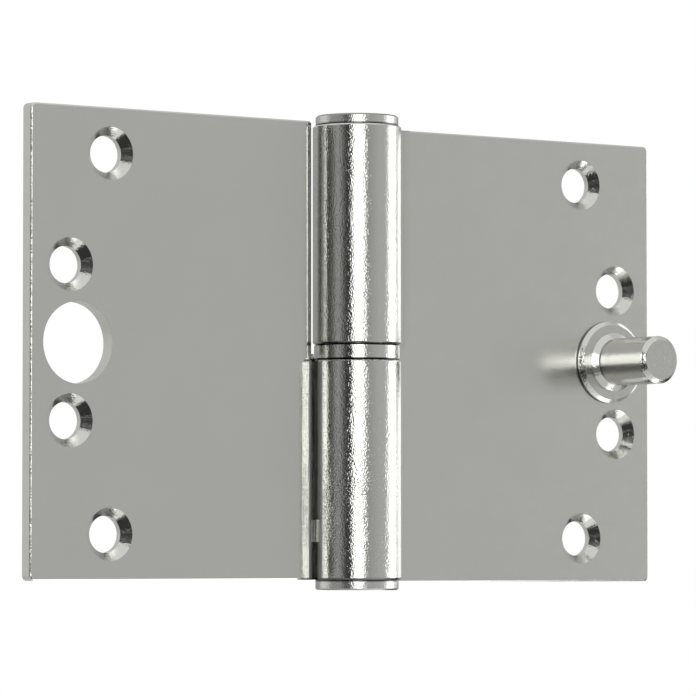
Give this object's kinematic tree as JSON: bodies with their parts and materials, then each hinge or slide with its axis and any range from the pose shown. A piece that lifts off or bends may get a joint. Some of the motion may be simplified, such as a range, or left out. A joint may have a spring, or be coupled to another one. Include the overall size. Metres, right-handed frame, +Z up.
{
  "type": "lift-off hinge",
  "caption": "Flat steel lift-off door hinge: leaves rolled into knuckles round a fixed pin, a thrust ring between them, countersunk screw holes, and a security stud that enters the facing leaf.",
  "frame": {"origin": "middle of the flat of the frame leaf's mounting face", "axes": "+Y out of the mounting faces, away from the leaf fronts; +X from the frame leaf to the door leaf; +Z up, along the pin"},
  "size_m": [0.15, 0.0243, 0.0924],
  "materials": {
    "leaf_steel": "zinc-plated, satin",
    "pin_steel": "turned, bright",
    "ring_steel": "turned, zinc-plated",
    "cap_steel": "zinc-plated, smooth",
    "stud_steel": "turned, zinc-plated"
  },
  "bodies": {
    "frame_side": {"frame_leaf": "leaf_steel", "hinge_pin": "pin_steel", "bottom_cap": "cap_steel"},
    "ring": {"thrust_ring": "ring_steel"},
    "door_side": {"door_leaf": "leaf_steel", "top_cap": "cap_steel", "security_stud": "stud_steel"}
  },
  "joints": [
    {"name": "swing", "type": "hinge", "parent": "frame_side", "child": "ring", "pos_m": [0.04425, -0.0038, 0], "axis": [0, 0, 1], "range_deg": [-180, 120]},
    {"name": "lift_off", "type": "slide", "parent": "ring", "child": "door_side", "axis": [0, 0, 1], "range_m": [0, 0.06]}
  ]
}
